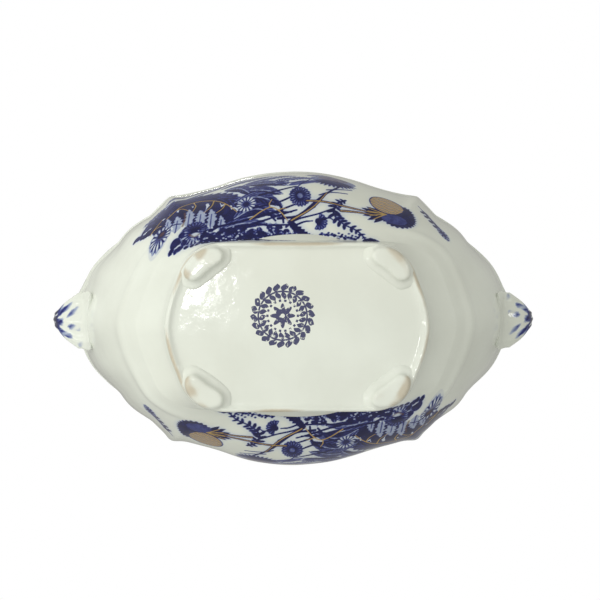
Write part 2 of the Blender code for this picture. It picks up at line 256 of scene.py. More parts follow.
class Transfer:
    """The printed side: ink, gilt and brown at points of the wall, painted on in layers."""

    def __init__(self, x, s):
        self.x, self.s = x, s
        self.ink, self.gilt, self.brown = (np.zeros(len(x)) for _ in range(3))

    def near(self, low, high):
        inside = (self.x > low[0]) & (self.x < high[0]) & (self.s > low[1]) & (self.s < high[1])
        return np.nonzero(inside)[0]

    def lay(self, layer, where, inside, value, soft=0.22):
        """Lays a value on a layer where the distance inside an edge is positive."""
        cover = smooth(-soft, soft, inside)
        layer[where] += (value - layer[where]) * cover

    def follow(self, path, reach):
        """(points near a path, their distance from it, how far along it they are, which side they're on)."""
        where = self.near(path.min(0) - reach, path.max(0) + reach)
        x, s = self.x[where], self.s[where]
        best, share, side = np.full(len(where), 1e9), np.zeros(len(where)), np.ones(len(where))
        for i, (a, b) in enumerate(zip(path, path[1:])):
            step = b - a
            t = np.clip(((x - a[0]) * step[0] + (s - a[1]) * step[1]) / (step @ step), 0, 1)
            dx, ds = x - a[0] - t * step[0], s - a[1] - t * step[1]
            distance = np.hypot(dx, ds)
            closer = distance < best
            best = np.where(closer, distance, best)
            share = np.where(closer, (i + t) / (len(path) - 1), share)
            side = np.where(closer, np.sign(step[0] * ds - step[1] * dx), side)
        return where, best, share, side

    def line(self, points, width, value=1.0, layer=None, soft=0.2):
        path = smooth_curve(points, 8 * len(points))
        where, distance, share, _ = self.follow(path, width + 1)
        layer = self.ink if layer is None else layer
        self.lay(layer, where, width / 2 * (1 - 0.4 * share) - distance, value, soft)

    def leaf(self, points, width, teeth=0, depth=0.0, tone=1.0, vein=0.0, light_side=0.0, ribs=0):
        """A blade along a midrib, with teeth on its edges and a paler vein, side or set of ribs."""
        path = smooth_curve(points, 10 * len(points))
        where, distance, share, side = self.follow(path, width + 1.5)
        reach = width * np.sin(np.pi * np.clip(share, 0, 1) ** 0.85) ** 0.8
        lean = distance / width * 0.25
        phase = ((share - lean) * teeth) % 1.0 if teeth else 0.0
        reach = reach * (1 - depth * phase)
        value = tone - light_side * (side > 0)
        if ribs:
            wave = np.abs(np.sin(np.pi * (share - 0.4 * distance / width) * ribs))
            value = value - 0.35 * smooth(0.80, 0.95, wave)
        self.lay(self.ink, where, reach - distance, value)
        if vein:
            self.lay(self.ink, where, np.where(reach > 0.3, vein - distance, -1), 0.25, 0.15)

    def flower(self, x, s, rx, rs, petals=14, turn=0.0, tone=0.75, eye=0.28, centre=1.0, half=None):
        """A ray flower. half, in radians, is the way that a flower seen from its side opens."""
        where = self.near((x - rx - 1, s - rs - 1), (x + rx + 1, s + rs + 1))
        dx, ds = (self.x[where] - x) / rx, (self.s[where] - s) / rs
        radius, angle = np.hypot(dx, ds), np.arctan2(ds, dx) - turn
        petal = np.abs(np.sin(angle * petals / 2))
        edge = 0.80 + 0.20 * petal**0.5
        mean = (rx + rs) / 2
        inside = (edge - radius) * mean
        if half is not None:
            facing = np.cos(np.arctan2(ds, dx) - half)
            inside = np.minimum(inside, (facing + 0.15) * mean * 1.5)
        value = tone - 0.55 * smooth(0.45, 0.85, petal) * smooth(0.25, 0.75, radius)
        value = value + 0.25 * smooth(0.7, 1.0, radius)
        self.lay(self.ink, where, inside, value)
        gap = 0.16 * mean * radius - petal * mean * 0.45 * radius
        self.lay(self.ink, where, np.minimum(inside, gap), 1.0, 0.15)
        self.lay(self.ink, where, (eye - radius) * mean, centre)

    def blot(self, x, s, rx, rs, tone=1.0, turn=0.0, layer=None):
        reach = max(rx, rs) + 1
        where = self.near((x - reach, s - reach), (x + reach, s + reach))
        dx, ds = self.x[where] - x, self.s[where] - s
        a, b = dx * math.cos(turn) + ds * math.sin(turn), ds * math.cos(turn) - dx * math.sin(turn)
        inside = (1 - np.hypot(a / rx, b / rs)) * min(rx, rs)
        self.lay(self.ink if layer is None else layer, where, inside, tone)

    def fern(self, points, length, pairs, tone=0.95):
        """A frond: a midrib with blunt leaflets on both sides."""
        path = smooth_curve(points, 60)
        self.line(points, 0.9, tone)
        for i in range(pairs):
            share = (i + 0.5) / pairs
            root, heading = place_on(path, share)
            size = length * math.sin(math.pi * (0.12 + 0.85 * share)) ** 0.7
            for lean in (1.05, -1.05):
                middle = (root + towards(root, size, heading + lean)) / 2
                self.blot(*middle, size * 0.56, size * 0.24, tone, heading + lean)

    def vein(self, points, twigs, width=0.55):
        """A gilt line with short twigs, each (how far along it is, its length, its lean)."""
        path = smooth_curve(points, 60)
        self.line(points, width, 1.0, self.gilt)
        for share, length, lean in twigs:
            root, heading = place_on(path, share)
            tip = towards(root, length, heading + lean)
            bend = towards((root + tip) / 2, 0.12 * length, heading + lean + math.pi / 2)
            self.line((root, bend, tip), width * 0.85, 1.0, self.gilt)

    def thistle(self):
        """The thistle in flower: a dark cup of bracts under a crown that is dotted with gilt."""
        where = self.near((27, 15), (50, 45))
        x, s = self.x[where], self.s[where]
        fringe = 0.35 * np.sin(np.arctan2(s - 28.5, x - 38.8) * 30)
        cup = (1 - np.hypot((x - 38.8) / 7.3, (s - 28.3) / 9.6)) * 7.3 + fringe
        self.lay(self.ink, where, cup, 0.94 + 0.06 * np.sin(np.arctan2(s - 33, x - 35) * 44))
        glow = (1 - np.hypot((x - 37.5) / 5.0, (s - 24.0) / 3.4)) * 3.4
        self.lay(self.ink, where, np.minimum(glow, cup), 0.62)
        crown = (1 - np.hypot((x - 35.4) / 6.5, (s - 34.0) / 6.6)) * 6.5
        self.lay(self.ink, where, crown + 0.35, 1.0)
        self.lay(self.ink, where, crown, 0.35)
        dots = np.sin(x * 5.2 + 0.6 * np.sin(s * 1.9)) * np.sin(s * 4.8 + 0.7 * np.sin(x * 1.7))
        self.lay(self.gilt, where, crown, 0.55 + 0.45 * dots)
        self.lay(self.brown, where, np.minimum(crown, 1.6 - crown), 0.35)


def draw_grasses(t):
    """Grey-blue grasses high on the wall: (x, s, lean, size)."""
    grasses = ((-60, 42, 0.75, 15), (-52, 50, 0.60, 17), (-44, 54, 0.45, 17), (-33, 54, 0.35, 18),
               (-24, 50, 0.25, 17), (-14, 46, 0.30, 16), (-6, 42, 0.35, 15), (4, 50, 0.10, 13))
    for x, s, lean, size in grasses:
        tip = (x + size * math.cos(lean), s + size * 0.55 * math.sin(lean))
        t.leaf(((x, s), ((x + tip[0]) / 2, (s + tip[1]) / 2 + 1.5), tip), 2.6, 9, 0.45, 0.62, 0.25)
        t.leaf(((x + 3, s - 5), (x + size * 0.6, s - 2), (tip[0] + 2, tip[1] - 3)), 1.8, 0, 0.0, 0.52)


def draw_great_leaf(t):
    """The great dark leaf, with dark lobes below its midrib and pale pointed ones between them."""
    blade = ((-60, 35), (-54, 39), (-46, 41), (-36, 41), (-26, 34), (-18, 22))
    t.leaf(blade, 7.5, 15, 0.30, 1.0, 0.0, 0.10, 12)
    t.leaf(((-59, 31), (-55, 32), (-49, 31), (-42, 30)), 3.6, 9, 0.35, 1.0)
    spine = smooth_curve(((-54, 34), (-47, 36), (-40, 39), (-31, 35), (-25, 28), (-21, 21)), 60)
    dark_lobes = ((2, 8, -1.75), (10, 12, -1.70), (19, 15, -1.65), (27, 17, -1.70),
                  (35, 18, -1.75), (43, 16, -1.85), (50, 13, -2.0), (56, 9, -2.2))
    for place, size, lean in dark_lobes:
        root = spine[place]
        tip = towards(root, size, lean)
        t.leaf((root, (root + tip) / 2 + (0.7, 0), tip), 3.0, 0, 0.0, 1.0, 0.0, 0.08)
    pale_lobes = ((-50.0, 22, 11, 1.7), (-46.2, 19, 12, 2.4), (-41.6, 20, 14, 2.3),
                  (-37.2, 19, 12, 2.6), (-33.0, 16, 14, 2.2), (-29.2, 14, 10, 1.7))
    for x, s, size, width in pale_lobes:
        t.leaf(((x, s), (x + 0.8, s + size / 2), (x + 0.2, s + size)), width, 5, 0.40, 0.24)
        t.line(((x + 0.2, s), (x + 0.6, s + size * 0.7)), 0.45, 0.75)


def draw_folded_leaves(t):
    """Broad leaves to the middle, folded over each other, and the stalks between them."""
    leaves = (
        (((-22, 38), (-14, 36), (-5, 31)), 3.8, 0.20),
        (((-24, 30), (-15, 31), (-5, 24)), 3.8, 0.25),
        (((-24, 20), (-16, 24), (-6, 19)), 3.6, 0.25),
        (((-20, 44), (-11, 42), (-3, 37)), 3.0, 0.25),
        (((-29, 15), (-21, 17), (-11, 16)), 3.0, 0.30),
        (((-28, 46), (-22, 42), (-18, 35)), 3.2, 0.25),
    )
    for points, width, light_side in leaves:
        t.leaf(points, width, 0, 0.0, 1.0, 0.28, light_side, 7)
    stalks = (
        ((-28, 14), (-14, 17), (0, 22)), ((-30, 17), (-12, 20), (2, 26)), ((-22, 24), (-8, 26), (1, 31)),
        ((-18, 19), (-9, 21), (-2, 21)), ((-14, 32), (-6, 34), (0, 36)), ((-7, 18), (0, 19), (7, 24)),
        ((-20, 27), (-13, 24), (-8, 17)), ((-10, 29), (-6, 24), (-5, 16)), ((-15, 16), (-9, 15), (-2, 15)),
    )
    for points in stalks:
        t.line(points, 1.2, 1.0)


def draw_asters(t):
    """The pale flower behind, and the asters."""
    t.flower(-19.2, 27.6, 3.8, 4.6, 14, 0.2, 0.55, 0.30, 0.9)
    t.flower(1.5, 29.8, 4.3, 6.2, 20, 0.0, 0.95, 0.26, 0.45)
    t.flower(8.2, 17.0, 3.6, 4.3, 16, 0.3, 0.95, 0.34, 1.0, half=-0.3)
    t.flower(-6, 40, 3.6, 4.6, 16, 0.1, 0.70, 0.3, 0.6, half=1.3)


def draw_stems(t):
    """Plain blue stems, and the ones that are lined with brown and gilt."""
    plain = (
        (((-3, 16), (3.6, 22), (9, 29), (16.5, 38.5), (21, 46)), 1.1, 1.0),
        (((-4, 14), (0, 17.4), (8, 20.5), (15.5, 25)), 0.9, 1.0),
        (((0, 15), (3, 16.5), (6, 17)), 0.8, 1.0),
        (((9, 31), (13, 33.5), (20, 35)), 0.7, 0.85),
        (((12, 35), (17, 37), (22, 39)), 0.7, 0.85),
        (((-8, 38), (0, 40), (10, 41)), 0.8, 0.75),
        (((-2, 31), (2, 38), (6, 44)), 0.7, 0.8),
        (((10, 18), (12.5, 19), (14, 18)), 0.7, 1.0),
    )
    for points, width, tone in plain:
        t.line(points, width, tone)
    gilded = (
        ((4, 27), (11, 27.3), (18.7, 26.3), (29, 25.9), (33, 27)),
        ((-2, 17), (4, 21.5), (8, 26), (12, 33)),
        ((17, 23.5), (24, 24.3), (31, 24.5)),
    )
    for points in gilded:
        t.line(points, 1.3, 1.0)
        t.line(points, 0.7, 0.6, t.gilt)
        t.line(points, 0.9, 0.6, t.brown)


def draw_thistles_and_frond(t):
    """The thistle in flower, with its sepals, a greyer one above the stems, and the frond between them."""
    stem_end = np.array((34.5, 26.0))
    for lean, size in ((2.75, 8), (2.98, 9.5), (3.2, 8.5), (3.45, 9.5), (3.75, 9), (4.05, 8)):
        tip = towards(stem_end, size, lean)
        t.leaf((stem_end, (stem_end + tip) / 2, tip), 1.15, 0, 0.0, 1.0)
    for lean in (2.85, 3.15, 3.55, 3.9):
        root = stem_end + (0, 0.5)
        t.line((root, towards(root, 7, lean)), 0.6, 0.9, t.gilt)
    t.thistle()
    t.blot(15, 46, 9.0, 5.0, 0.42)
    root = np.array((15, 45))
    for lean in np.linspace(3.5, 5.9, 13):
        tip = root + 9 * np.array((1.1 * math.cos(lean), 0.8 * math.sin(lean)))
        t.leaf((root, (root + tip) / 2, tip), 0.9, 0, 0.0, 0.80)
    t.blot(15, 48, 6.0, 3.4, 0.55, 0.0, t.brown)
    t.fern(((19, 30), (15.6, 27), (14.2, 21.5), (17.3, 17), (23, 13.6), (26, 9)), 2.9, 13)


def draw_daisy_and_cornflower(t):
    """The daisy, the cornflower and their buds at the left."""
    t.blot(-38.6, 14.6, 6.2, 7.6, 0.14)
    t.flower(-38.6, 15.2, 5.6, 7.2, 20, 0.1, 0.72, 0.30, 1.0)
    t.flower(-38.6, 17.2, 5.0, 5.4, 18, 0.2, 1.0, 0.30, 1.0, half=1.5)
    t.blot(-38.2, 14.2, 1.9, 1.2, 0.15)
    t.line(((-40.4, 14.8), (-38.4, 13.0), (-36.4, 14.6)), 0.9, 0.9, t.brown)
    t.blot(-52.0, 21.6, 4.4, 6.0, 0.12)
    t.flower(-51.8, 22.4, 4.2, 5.8, 14, 0.2, 0.62, 0.2, 0.6)
    t.blot(-51.2, 23.8, 1.7, 2.1, 1.0)
    t.blot(-51.2, 23.8, 0.9, 1.1, 0.8, 0.0, t.brown)
    t.line(((-50, 24.5), (-47, 25.5), (-44, 24)), 0.6, 1.0)
    small_leaves = ((-47.0, 11.0), (-45.4, 9.8), (-43.4, 9.4), (-41.4, 8.2),
                    (-39.2, 7.6), (-37.2, 7.4), (-44.4, 12.6))
    for x, s in small_leaves:
        t.blot(x, s, 1.0, 0.8, 1.0, x)
    buds = ((-45.7, 13.6, 1.9), (-43.4, 16, 1.2), (-42.3, 11.4, 1.2), (-44.2, 9.8, 1.0), (-47.3, 11.3, 0.9))
    for x, s, size in buds:
        t.blot(x, s, size, size * 1.15, 0.9)


def draw_florets(t):
    """Dark florets along the base with pale flecks in them, and a row of tiny ones to the right."""
    count = 170
    for i in range(count):
        x = -36 + 35 * i / count + rng.normal(0, 0.5)
        low = 7.8 + 1.6 * smooth(-34, -44, x)
        s = low + min(abs(rng.normal(0, 3.4)), 8.5)
        t.blot(x, s, rng.uniform(0.8, 1.6), rng.uniform(0.7, 1.4), rng.uniform(0.92, 1.0), rng.uniform(0, 3))
    for _ in range(110):
        x, s = -40 + 39 * rng.random(), 8.3 + min(abs(rng.normal(0, 3.4)), 7.5)
        s = s + 1.6 * float(smooth(-34, -44, x))
        width, height = rng.uniform(0.25, 0.60), rng.uniform(0.22, 0.50)
        t.blot(x, s, width, height, rng.uniform(0.05, 0.4), rng.uniform(0, 3))
    t.leaf(((-3, 17), (0, 13), (4, 10), (9, 9.5)), 2.0, 8, 0.4, 1.0)
    for x in np.linspace(9, 23, 12):
        t.blot(x, 9.7 + 1.0 * math.sin(x * 2.3), 0.75, 0.5, 1.0, x)
        t.blot(x + 0.4, 11.2 + 0.7 * math.sin(x * 1.7), 0.45, 0.4, 0.9, x)
    t.line(((10, 11), (16, 10.2), (22, 8.8)), 0.5, 0.9)
    t.leaf(((24, 8), (27.5, 9.4), (31, 8.6)), 1.1, 4, 0.3, 1.0)


def draw_sprigs(t):
    """Sprigs by the right corner and at the far left edge."""
    for x, s in ((51.4, 41), (52.6, 38.5), (54.2, 36.5), (55.6, 34.5)):
        t.blot(x, s, 1.0, 1.7, 0.8, 0.6)
        t.blot(x - 1.3, s - 1.6, 0.8, 1.1, 0.95, -0.5)
    t.flower(57.2, 31.6, 2.5, 3.2, 10, 0.0, 0.7, 0.25, 0.7)
    t.line(((49, 44), (53, 39), (57, 33)), 0.5, 0.8)
    for x, s in ((-60.5, 34.5), (-62, 36), (-59, 32.5), (-57.4, 31.5)):
        t.blot(x, s, 1.5, 1.0, 0.9, -0.7)


def draw_gilding(t):
    """Gilt veins on the great leaf and on the folded ones, and one brown vein."""
    great = ((-50, 33), (-46.5, 36), (-40.3, 40), (-33, 37), (-28, 32), (-22.7, 24))
    t.vein(great, ((0.42, 9, -1.5), (0.66, 9, -1.3), (0.86, 6, -1.2), (0.22, 6, -1.3)))
    folded = ((-17.7, 18.7), (-13, 22.5), (-9.3, 23.8), (-6, 21), (-3.3, 16.7))
    t.vein(folded, ((0.46, 4.5, 1.3), (0.70, 3.5, 1.1)))
    t.vein(((-56, 29), (-54, 32), (-52, 35)), ((0.30, 3.0, -1.2),))
    t.line(((-43.4, 22), (-42.6, 27), (-43, 31)), 1.0, 0.9, t.brown)


def draw_side(transfer):
    """The front side's print, from the palest things behind to the gilding on top."""
    layers = (draw_grasses, draw_great_leaf, draw_folded_leaves, draw_asters, draw_stems,
              draw_thistles_and_frond, draw_daisy_and_cornflower, draw_florets, draw_sprigs, draw_gilding)
    for draw in layers:
        draw(transfer)


# -------- mesh building


def stitch(loops):
    """Faces between loops of vertex numbers that run the same way, also where a loop has fewer vertices."""
    faces = []
    for low, high in zip(loops, loops[1:]):
        if len(low) == len(high):
            after_low, after_high = np.roll(low, -1), np.roll(high, -1)
            faces += np.stack((low, after_low, after_high, high), axis=1).tolist()
            continue
        fine_below = len(low) > len(high)
        fine, coarse = (low, high) if fine_below else (high, low)
        share = len(fine) // len(coarse)
        middle = share // 2
        for j, corner in enumerate(coarse):
            following = coarse[(j + 1) % len(coarse)]
            run = [fine[(share * j + k) % len(fine)] for k in range(share + 1)]
            made = [(run[k], run[k + 1], corner) for k in range(middle)]
            made.append((run[middle], following, corner))
            made += [(run[k], run[k + 1], following) for k in range(middle, share)]
            faces += made if fine_below else [face[::-1] for face in made]
    return faces


def mesh_object(name, points, faces, layers):
    """A smooth-shaded mesh object with a named value at each vertex for each layer."""
    data = bpy.data.meshes.new(name)
    data.from_pydata(np.asarray(points).tolist(), [], faces)
    for layer, values in layers.items():
        attribute = data.attributes.new(layer, "FLOAT", "POINT")
        attribute.data.foreach_set("value", np.asarray(values, np.float32))
    data.shade_smooth()
    data.update()
    made = bpy.data.objects.new(name, data)
    bpy.context.scene.collection.objects.link(made)
    return made


def moulding(below_lip):
    """How far the wall stands proud at a distance below its lip, with its highest bead at nothing."""
    beads = sum(proud * np.exp(-(((below_lip - place) / width) ** 2)) for proud, place, width in MOULDINGS)
    return beads - MOULDINGS[0][0]


def wall_relief(angle, rows, up_wall):
    """How far the wall stands proud: hand-pressed unevenness, end flutes, corner ribs and the mouldings."""
    below_lip = up_wall[-1] - up_wall
    flat = rows.reshape(-1, 3)
    uneven = soft_waves(flat, 0.055, 0.00030, 3) + soft_waves(flat, 0.018, 0.00007, 5)
    uneven = np.minimum(uneven.reshape(up_wall.shape), 0.0004) - 0.0004
    to_end = smooth(0.55, 0.95, np.abs(np.cos(angle)))
    height_share = np.concatenate((np.zeros(BAND_ROWS), np.linspace(0, 1, SIDE_ROWS)))[:, None]
    flutes = 0.000315 * np.cos(angle * 26) * smooth(0.12, 0.6, height_share) * to_end
    end_step = 0.0007 * np.exp(-(((height_share - 0.16) / 0.05) ** 2)) * to_end
    corner = math.atan2(RIM_OUTLINE[2][1] * RIM_WIDTH, RIM_OUTLINE[2][0] * RIM_LENGTH)
    off_corner = np.arctan2(np.abs(np.sin(angle)), np.abs(np.cos(angle))) - corner
    ribs = 0.0009 * np.exp(-((off_corner / 0.045) ** 2)) * smooth(0.15, 0.8, height_share)
    ribs = ribs * smooth(0, 0.012, below_lip)
    calm = smooth(0, 0.004, up_wall) * smooth(0, 0.003, below_lip)
    return (uneven + flutes + end_step + ribs) * calm + moulding(below_lip) * smooth(0.012, 0.008, below_lip)


def wall_outside(angle):
    """The outer wall, row by row from the base's edge to the lip, and how far up it each point is."""
    levels = [band_level(angle, step) for step in np.linspace(0, 1, BAND_ROWS, endpoint=False)]
    levels += [bowl_level(angle, step) for step in np.linspace(0, 1, SIDE_ROWS)]
    rows = np.array([ring(angle, *level) for level in levels])
    steps = np.linalg.norm(np.diff(rows, axis=0), axis=2)
    up_wall = np.concatenate((np.zeros((1, len(angle))), np.cumsum(steps, axis=0)))
    around = np.roll(rows, -1, axis=1) - np.roll(rows, 1, axis=1)
    outward = np.cross(around, np.gradient(rows, axis=0))
    outward /= np.linalg.norm(outward, axis=2)[:, :, None]
    return rows + outward * wall_relief(angle, rows, up_wall)[:, :, None], up_wall


def underside(angle):
    """Rings from the middle of the recessed base panel, over its rounded rim, to the base's edge."""
    edge = along(BASE, angle)
    rings = []
    for share in (0.03, 0.1, 0.2, 0.3, 0.4, 0.5, 0.6, 0.7, 0.8, 0.88, 0.94, 0.98):
        level = ring(angle, (edge - RECESS_MARGIN) * share, PANEL_HEIGHT)
        level[:, 2] += soft_waves(level, 0.05, 0.00004, 11) * (1 - share**4) + 0.0001 * (1 - share**2)
        rings.append(level)
    rounding = ((0.0022, RECESS_DEPTH - 0.0003), (0.0017, 0.00015), (0.0012, 0),
                (0.0007, 0.00012), (0.0003, 0.0004))
    for inset, rise in rounding:
        rings.append(ring(angle, edge - inset, FOOT_HEIGHT + rise))
    return rings


def lip_rings(angle, outer):
    """Rings over the rounded lip, from the wall's outside to its inside."""
    inner = ring(angle, *inner_level(angle, 1.0))
    rings = []
    for bend in (25, 55, 90, 125, 155):
        level = outer + (inner - outer) * (1 - math.cos(math.radians(bend))) / 2
        level[:, 2] += WALL / 2 * math.sin(math.radians(bend))
        rings.append(level)
    return rings


def interior(angle):
    """Rings down the inside of the wall and over a soft bend to the middle of the floor."""
    lowest_step = 0.10
    rings = [ring(angle, *inner_level(angle, step)) for step in np.linspace(0.99, lowest_step, 46)]
    radius, height = inner_level(angle, lowest_step)
    floor_height = PANEL_HEIGHT + FLOOR_THICKNESS
    for share in (0.15, 0.3, 0.45, 0.6, 0.75, 0.9, 1.0):
        sink = 1 - (1 - share) ** 2
        rings.append(ring(angle, radius * (1 - 0.24 * share), height + (floor_height - height) * sink))
    for share in (0.66, 0.56, 0.45, 0.33, 0.2, 0.08, 0.02):
        rings.append(ring(angle, radius * share, floor_height))
    return rings


def print_layers(total, first, wall, up_wall):
    """The print's layers for all vertices of the bowl, of which the wall's begin at first."""
    count = wall.shape[1] // 2
    front = slice(count, 2 * count)
    transfer = Transfer(wall[:, front, 0].ravel() * 1000, up_wall[:, front].ravel() * 1000)
    draw_side(transfer)
    clear = smooth(*PRINT_FADE, (up_wall[-1] - up_wall)[:, front])
    drawn = {"ink": transfer.ink, "gilt": transfer.gilt, "brown": transfer.brown}
    sides = {name: np.tile(values.reshape(clear.shape) * clear, 2) for name, values in drawn.items()}
    # The blue that flowed into the glaze round the print.
    flow = sides["ink"]
    for _ in range(2):
        for axis in (0, 1):
            flow = sum(np.roll(flow, shift, axis) for shift in range(-5, 6)) / 11
    sides["flow"] = flow
    layers = {name: np.zeros(total) for name in sides}
    for name, values in sides.items():
        layers[name][first : first + values.size] = values.ravel()
    return layers


def edge_stain_and_shade(points):
    """Patchy brown wear along the base's edge, made stronger so that it also paints the shade along that
    edge.
    """
    reach = np.hypot(points[:, 0], points[:, 1])
    turn = np.arctan2(points[:, 1], points[:, 0]) % FULL_TURN
    from_edge = np.abs(reach - along(BASE, turn) + 0.0006)
    stain_and_edge_shade = np.exp(-((from_edge / 0.0009) ** 2)) * (points[:, 2] < FOOT_HEIGHT + 0.0012)
    # The last factor was raised to darken the edge line: on top of the wear, it paints shade along the base's
    # edge.
    return stain_and_edge_shade * np.clip(0.5 + soft_waves(points, 0.020, 0.5, 21), 0, 1) * 0.8


def make_bowl():
    half = column_angles()
    angle = np.concatenate((half, half + math.pi))
    coarse = angle[::COARSE]
    wall, up_wall = wall_outside(angle)
    below = underside(coarse)
    rings = below + list(wall) + lip_rings(angle, wall[-1]) + interior(coarse)
    starts = np.cumsum([0] + [len(level) for level in rings])
    loops = [np.arange(start, end) for start, end in zip(starts, starts[1:])]
    faces = stitch(loops) + [loops[0][::-1].tolist(), loops[-1].tolist()]
    points = np.concatenate(rings)
    layers = print_layers(len(points), starts[len(below)], wall, up_wall)
    # Brown wear along the base's edge, with painted shade along that edge.
    layers["stain_and_edge_shade"] = edge_stain_and_shade(points)
    return mesh_object("bowl_glazed", points, faces, layers)


# A foot's section, from its worn underside up: (how far it is drawn in, its height).
FOOT_PROFILE = (
    (0.0040, 0.0), (0.0028, 0.0), (0.0018, 0.00002), (0.0011, 0.00012),
    (0.0006, 0.00035), (0.0002, 0.0008), (0.0, 0.0013), (-0.0004, 0.0019),
    (-0.0010, 0.0024), (-0.0019, 0.0028), (-0.0030, 0.0032), (-0.0034, 0.0040),
)


def foot_outline(shrink, lowest_depth, segments=96):
    """One foot's outline on the +X +Y corner, drawn in by shrink but kept lowest_depth inside the base."""
    angle = np.linspace(-0.3, math.pi / 2 + 0.3, 400)
    radius = along(BASE, angle % FULL_TURN)
    edge = np.stack((radius * np.cos(angle), radius * np.sin(angle)), axis=1)
    distance = np.concatenate(([0.0], np.cumsum(np.linalg.norm(np.diff(edge, axis=0), axis=1))))
    tangent = np.gradient(edge, distance, axis=0)
    inward = np.stack((-tangent[:, 1], tangent[:, 0]), axis=1)
    centre = np.interp(FOOT_ANGLE, angle, distance)
    turn = np.linspace(0, FULL_TURN, segments, endpoint=False)
    across = np.sign(np.sin(turn)) * np.abs(np.sin(turn)) ** 0.8
    lengthwise = np.sign(np.cos(turn)) * np.abs(np.cos(turn)) ** 0.8
    place = centre + (FOOT_LENGTH / 2 - shrink) * lengthwise
    depth = np.maximum(FOOT_INSET + FOOT_WIDTH / 2 + (FOOT_WIDTH / 2 - shrink) * across, lowest_depth)
    plan = np.stack([np.interp(place, distance, edge[:, k]) for k in (0, 1)], axis=1)
    normal = np.stack([np.interp(place, distance, inward[:, k]) for k in (0, 1)], axis=1)
    return plan + normal * depth[:, None]


def make_foot(node, side_x, side_y, seed):
    """A pad that is worn flat below and runs out softly into the base that it is stuck to."""
    points, loops, stain_and_edge_shade = [], [], []
    for i, (shrink, height) in enumerate(FOOT_PROFILE):
        plan = foot_outline(shrink, 0.0006 if i < 6 else 0.0004)
        level = np.column_stack((plan * (side_x, side_y), np.full(len(plan), height)))
        outer = smooth(0.0, 0.0025, np.hypot(plan[:, 0], plan[:, 1]) - 0.0425)
        if side_x * side_y < 0:
            level, outer = level[::-1], outer[::-1]
        level[:, :2] *= 1 + soft_waves(level, 0.012, 0.004, seed)[:, None]
        loops.append(np.arange(i * len(plan), (i + 1) * len(plan)))
        points.append(level)
        stain_and_edge_shade.append((0.25 + 0.75 * outer) * smooth(0.0022, 0.0002, abs(height - 0.0003)))
    faces = stitch(loops)
    faces += [loops[0][::-1].tolist(), loops[-1].tolist()]
    points = np.concatenate(points)
    patchy = np.clip(0.6 + soft_waves(points, 0.008, 0.5, seed + 1), 0, 1)
    zero = np.zeros(len(points))
    layers = {"ink": zero, "gilt": zero, "brown": zero, "flow": zero, "stain_and_edge_shade": np.concatenate(stain_and_edge_shade) * patchy}
    return mesh_object(node + "_worn", points, faces, layers)


def end_wall(height):
    steps = np.linspace(0, 1, 80)
    levels = [bowl_level(np.zeros(1), step) for step in steps]
    return float(np.interp(height, [level[1][0] for level in levels], [level[0][0] for level in levels]))


def make_handle(node, side):
    """A loop handle: a moulded strap with a raised rib, curled edges and printed leaves."""
    top = HANDLE_HIGH[2] - HANDLE_TOP_INSET
    low = top - HANDLE_DROP
    tip = HANDLE_HIGH[0] - HANDLE_TIP_INSET
    reach = tip - RIM_LENGTH / 2 + HANDLE_THICKNESS / 2
    low_wall, top_wall = end_wall(low), end_wall(top)
    path = smooth_curve(
        (
            (low_wall - 0.0030, low - 0.0030),
            (low_wall, low),
            (low_wall + 0.66 * (tip - low_wall), low + 0.0019),
            (tip - 0.05 * reach, low + 0.0086),
            (tip, low + 0.0158),
            (tip - 0.30 * reach, top - 0.0014),
            (top_wall - 0.0003, top),
            (top_wall - 0.0030, top - 0.0020),
        ),
        110,
    )
    tangent = np.gradient(path, axis=0)
    tangent /= np.linalg.norm(tangent, axis=1)[:, None]
    turn = np.linspace(0, FULL_TURN, 72, endpoint=False)
    points, loops, ink = [], [], []
    for i, ((x, z), (dx, dz)) in enumerate(zip(path, tangent)):
        share = i / (len(path) - 1)
        taper = min(1.0, max(0.0, (tip - x) / HANDLE_TAPER))
        width = HANDLE_TIP_WIDTH + (HANDLE_ROOT_WIDTH - HANDLE_TIP_WIDTH) * taper
        width = width * (1 - 0.03 * math.cos(share * 34))
        across = np.cos(turn)
        middle_rib = 0.20 * np.exp(-((across / 0.22) ** 2))
        edge_ribs = 0.22 * np.exp(-(((np.abs(across) - 0.74) / 0.13) ** 2))
        outer_side = np.sin(turn) < 0
        relief = 0.78 + np.where(outer_side, middle_rib + edge_ribs, 0.08)
        thick = HANDLE_THICKNESS / 2 * np.sin(turn) * relief
        level = np.stack((side * (x - dz * thick), side * width / 2 * across, z + dx * thick), axis=1)
        points.append(level[::-1])
        loops.append(np.arange(i * len(turn), (i + 1) * len(turn)))
        leafy = np.sin(share * 34 + 3.0 * np.abs(across)) * np.cos(across * 10 + share * 13)
        spread = smooth(0.10, 0.30, share) * smooth(1.0, 0.90, share) * (0.55 + 0.45 * (1 - taper))
        leaves = smooth(-0.10, 0.40, leafy) * (0.62 + 0.38 * np.sin(share * 70 + across * 12)) * spread
        tip_ink = smooth(0.55, 0.10, taper) * smooth(-0.75, -0.35, leafy)
        ink.append(np.maximum(leaves, tip_ink)[::-1])
    faces = stitch(loops)
    faces += [loops[0][::-1].tolist(), loops[-1].tolist()]
    points = np.concatenate(points)
    ink = np.concatenate(ink)
    zero = np.zeros(len(points))
    layers = {"ink": ink, "gilt": zero, "brown": zero, "flow": 0.4 * ink, "stain_and_edge_shade": zero}
    return mesh_object(node + "_moulded", points, faces, layers)


# -------- materials


